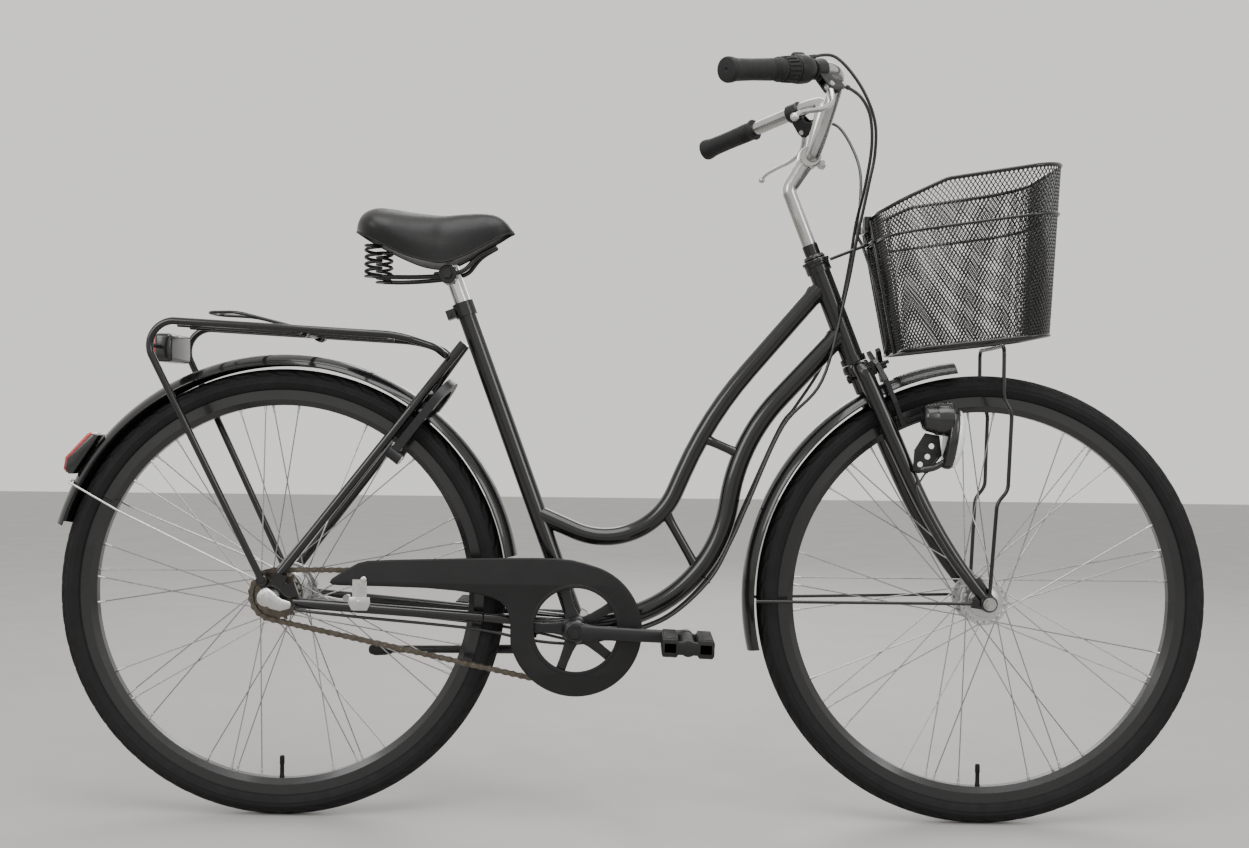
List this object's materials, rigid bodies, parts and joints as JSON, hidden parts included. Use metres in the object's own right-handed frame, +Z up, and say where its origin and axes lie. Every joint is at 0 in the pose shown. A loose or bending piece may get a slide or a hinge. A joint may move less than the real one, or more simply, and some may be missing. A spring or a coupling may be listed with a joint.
{
  "type": "city bicycle",
  "caption": "Step-through city bicycle with a wire front basket, rear rack, fenders, chain guard, frame lock, lights and a folding kickstand.",
  "frame": {"origin": "on the ground under the middle of the bicycle, halfway along its length and on its centre plane", "axes": "+X forward, +Y to the rider's left, +Z up"},
  "size_m": [1.801, 0.5656, 1.1704],
  "materials": {
    "black_paint": "gloss",
    "chrome": "polished",
    "steel": "brushed",
    "silver": "satin",
    "black_alloy": "satin",
    "tyre": "matte",
    "grip_rubber": "matte",
    "saddle_vinyl": "satin",
    "guard_plastic": "matte",
    "black_plastic": "satin",
    "cable_black": "satin",
    "red_plastic": "gloss",
    "chain_steel": "worn"
  },
  "bodies": {
    "frame": {"head_tube": "black_paint", "top_tube": "black_paint", "down_tube": "black_paint", "seat_tube": "black_paint", "bottom_bracket_shell": "black_paint", "chain_stays": "black_paint", "seat_stays": "black_paint", "bearing_cups": "black_paint", "seat_collar": "black_paint", "rear_fender": "black_paint", "rear_fender_stay": "steel", "rear_light": "red_plastic", "rack_frame": "black_paint", "rack_reflector": "red_plastic", "chain_guard": "guard_plastic", "chain_guard_clip": "steel", "frame_lock": "black_alloy", "rear_axle": "steel", "gear_clickbox": "silver", "rear_brake": "black_alloy", "gear_cable": "cable_black", "rear_brake_cable": "cable_black", "chain": "chain_steel"},
    "steering": {"fork": "black_paint", "stem": "silver", "handlebar": "silver", "grips": "grip_rubber", "lever_brackets": "black_alloy", "shifter_housing": "black_plastic", "front_fender": "black_paint", "front_fender_stays": "steel", "front_brake_bridge": "black_alloy", "front_axle": "steel", "headlight": "black_plastic", "basket": "black_paint", "basket_stays": "black_paint", "front_cables": "cable_black"},
    "front_wheel": {"front_tyre": "tyre", "front_rim": "black_alloy", "front_spokes": "steel", "front_hub": "silver"},
    "rear_wheel": {"rear_tyre": "tyre", "rear_rim": "black_alloy", "rear_spokes": "steel", "rear_hub": "silver"},
    "sprocket": {"rear_sprocket": "steel"},
    "crankset": {"crank_right": "black_alloy", "crank_left": "silver"},
    "pedal_r": {"pedal_right": "black_plastic"},
    "pedal_l": {"pedal_left": "black_plastic"},
    "lever_l": {"brake_lever_left": "silver"},
    "lever_r": {"brake_lever_right": "silver"},
    "twist": {"twist_shifter": "grip_rubber"},
    "arm_l": {"brake_arm_left": "black_alloy"},
    "arm_r": {"brake_arm_right": "black_alloy"},
    "stand": {"kickstand_leg": "black_alloy"},
    "seat": {"seatpost": "chrome", "saddle": "saddle_vinyl", "saddle_frame": "steel"},
    "clip": {"rack_clip": "black_paint"}
  },
  "joints": [
    {"name": "steering", "type": "hinge", "parent": "frame", "child": "steering", "pos_m": [0.347, 0, 0.7277], "axis": [-0.3641, 0, 0.9314], "range_deg": [-60, 60], "deforming": ["gear_cable", "rear_brake_cable"]},
    {"name": "front_wheel_spin", "type": "hinge", "parent": "steering", "child": "front_wheel", "pos_m": [0.5505, 0, 0.35], "axis": [0, 1, 0], "continuous": true},
    {"name": "rear_wheel_spin", "type": "hinge", "parent": "frame", "child": "rear_wheel", "pos_m": [-0.543, 0, 0.35], "axis": [0, 1, 0], "continuous": true},
    {"name": "crank_spin", "type": "hinge", "parent": "frame", "child": "crankset", "pos_m": [-0.0802, 0, 0.303], "axis": [0, 1, 0], "continuous": true, "deforming": ["chain"]},
    {"name": "sprocket_spin", "type": "hinge", "parent": "frame", "child": "sprocket", "pos_m": [-0.543, 0, 0.35], "axis": [0, 1, 0], "continuous": true},
    {"name": "pedal_right_spin", "type": "hinge", "parent": "crankset", "child": "pedal_r", "pos_m": [0.08765, -0.13, 0.29597], "axis": [0, 1, 0], "continuous": true},
    {"name": "pedal_left_spin", "type": "hinge", "parent": "crankset", "child": "pedal_l", "pos_m": [-0.24805, 0.13, 0.31003], "axis": [0, 1, 0], "continuous": true},
    {"name": "brake_lever_right", "type": "hinge", "parent": "steering", "child": "lever_r", "pos_m": [0.28543, -0.14589, 1.11461], "axis": [-0.5115, 0.6855, -0.5182], "range_deg": [0, 20], "stiffness_Nm_per_rad": 1.5, "springref_deg": -17.19},
    {"name": "brake_lever_left", "type": "hinge", "parent": "steering", "child": "lever_l", "pos_m": [0.28543, 0.14589, 1.11461], "axis": [0.5115, 0.6855, 0.5182], "range_deg": [0, 20], "stiffness_Nm_per_rad": 1.5, "springref_deg": -17.19},
    {"name": "twist_shifter", "type": "hinge", "parent": "steering", "child": "twist", "pos_m": [0.2206, -0.1825, 1.1302], "axis": [-0.7137, -0.6747, -0.1882], "range_deg": [0, 90]},
    {"name": "brake_arm_left", "type": "hinge", "parent": "steering", "child": "arm_l", "pos_m": [0.3844, 0.012, 0.7144], "axis": [-0.9314, 0, -0.3641], "range_deg": [0, 2]},
    {"name": "brake_arm_right", "type": "hinge", "parent": "steering", "child": "arm_r", "pos_m": [0.3844, -0.012, 0.7144], "axis": [0.9314, 0, 0.3641], "range_deg": [0, 2]},
    {"name": "kickstand", "type": "hinge", "parent": "frame", "child": "stand", "pos_m": [-0.17, 0.044, 0.256], "axis": [0, -1, 0], "range_deg": [0, 100]},
    {"name": "seatpost_height", "type": "slide", "parent": "frame", "child": "seat", "axis": [-0.3453, 0, 0.9385], "range_m": [-0.03, 0.1]},
    {"name": "rack_clip", "type": "hinge", "parent": "frame", "child": "clip", "pos_m": [-0.502, 0, 0.753], "axis": [0, 1, 0], "range_deg": [0, 80], "stiffness_Nm_per_rad": 0.3, "springref_deg": -20.05}
  ],
  "couplings": [
    {"joint": "sprocket_spin", "follows": "crank_spin", "ratio": 2.3158},
    {"joint": "brake_arm_left", "follows": "brake_lever_left", "ratio": 0.1},
    {"joint": "brake_arm_right", "follows": "brake_lever_left", "ratio": 0.1}
  ]
}
